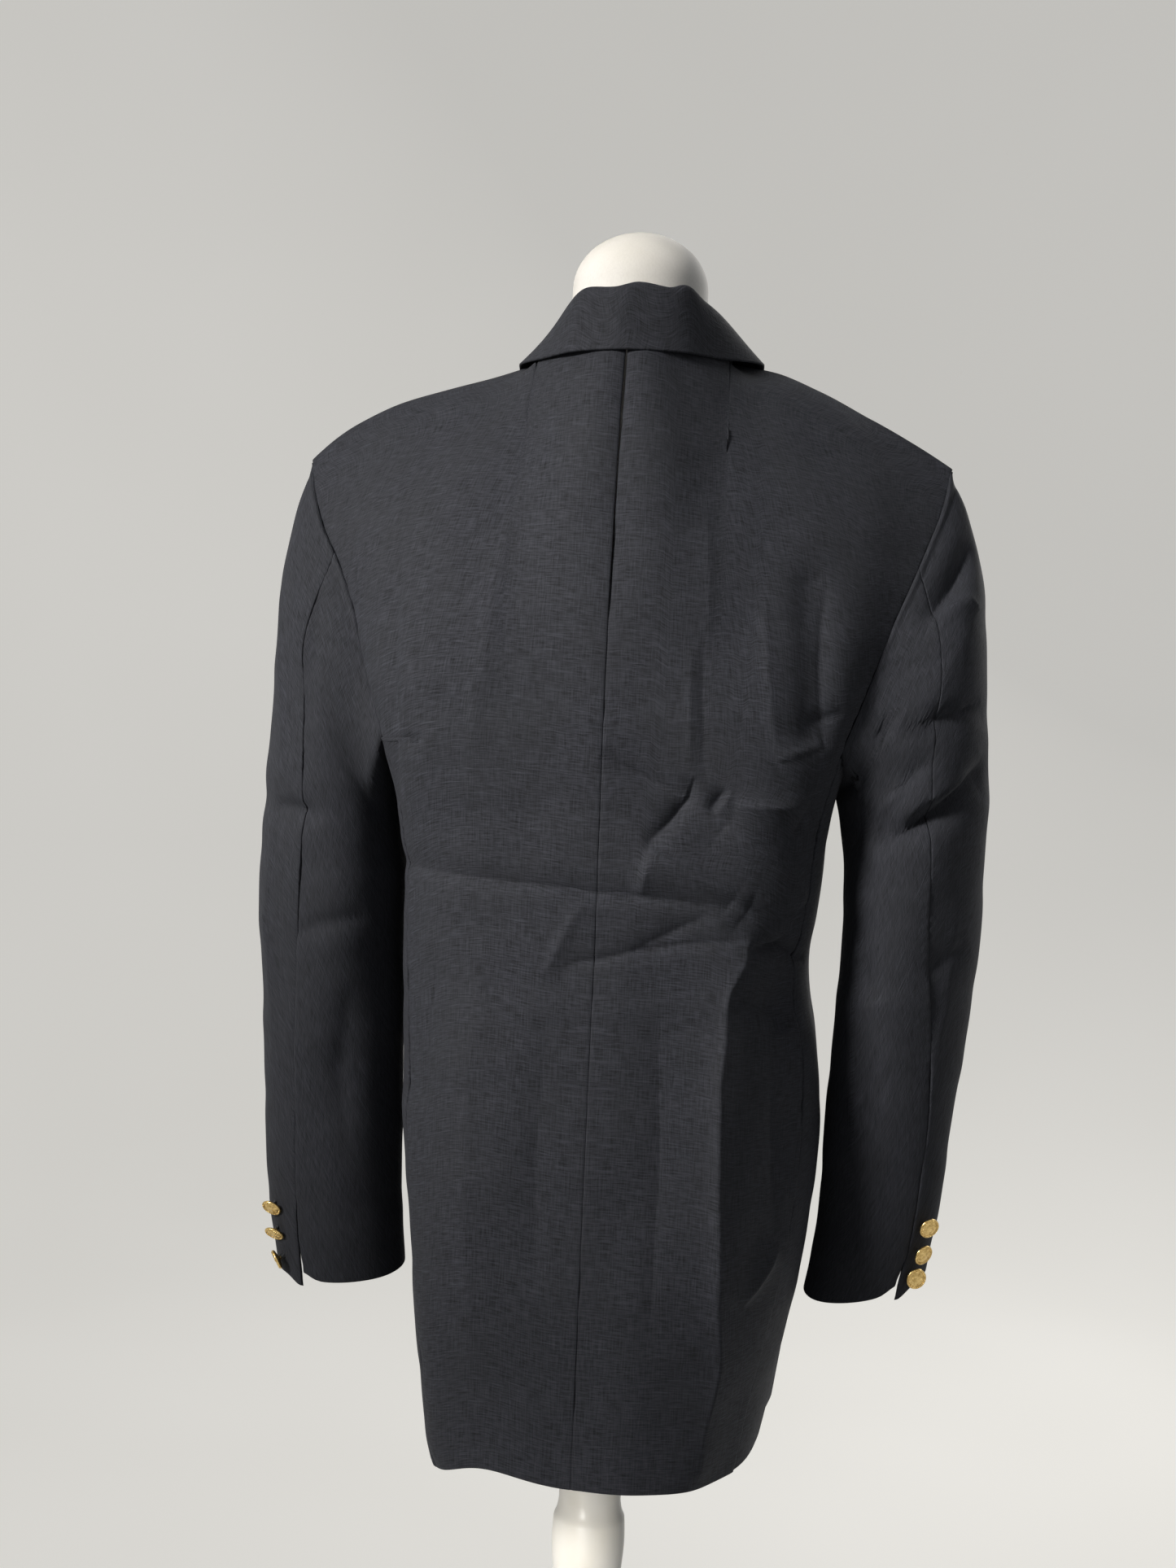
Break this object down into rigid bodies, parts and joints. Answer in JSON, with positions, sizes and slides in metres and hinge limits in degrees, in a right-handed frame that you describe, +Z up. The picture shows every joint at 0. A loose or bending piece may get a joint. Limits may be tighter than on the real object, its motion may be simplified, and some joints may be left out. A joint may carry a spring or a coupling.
{
  "type": "blazer on a limbless dress form with a stand",
  "caption": "Long boxy blazer with padded shoulders and metal cuff buttons, on a limbless dress form with a domed neck, a turned post and a round foot.",
  "frame": {"origin": "on the floor, at the centre of the round foot's underside", "axes": "+Z up; the wearer faces -Y, so the centre-back seam is on the +Y side, and the wearer's left is +X"},
  "size_m": [0.5382, 0.32, 1.5056],
  "materials": {
    "linen": "matt slubbed plain weave",
    "button_brass": "polished relief",
    "jersey": "smooth knitted cover",
    "white_paint": "satin white paint"
  },
  "bodies": {
    "root": {"back_left": "linen", "back_right": "linen", "side_left": "linen", "side_right": "linen", "front_left": "linen", "front_right": "linen", "lapel_left": "linen", "lapel_right": "linen", "collar": "linen", "sleeve_top_left": "linen", "sleeve_top_right": "linen", "sleeve_under_left": "linen", "sleeve_under_right": "linen", "cuff_button_left_1": "button_brass", "cuff_button_left_2": "button_brass", "cuff_button_left_3": "button_brass", "cuff_button_right_1": "button_brass", "cuff_button_right_2": "button_brass", "cuff_button_right_3": "button_brass", "front_button_1": "button_brass", "front_button_2": "button_brass", "form": "jersey", "post": "white_paint", "base": "white_paint"}
  },
  "joints": []
}
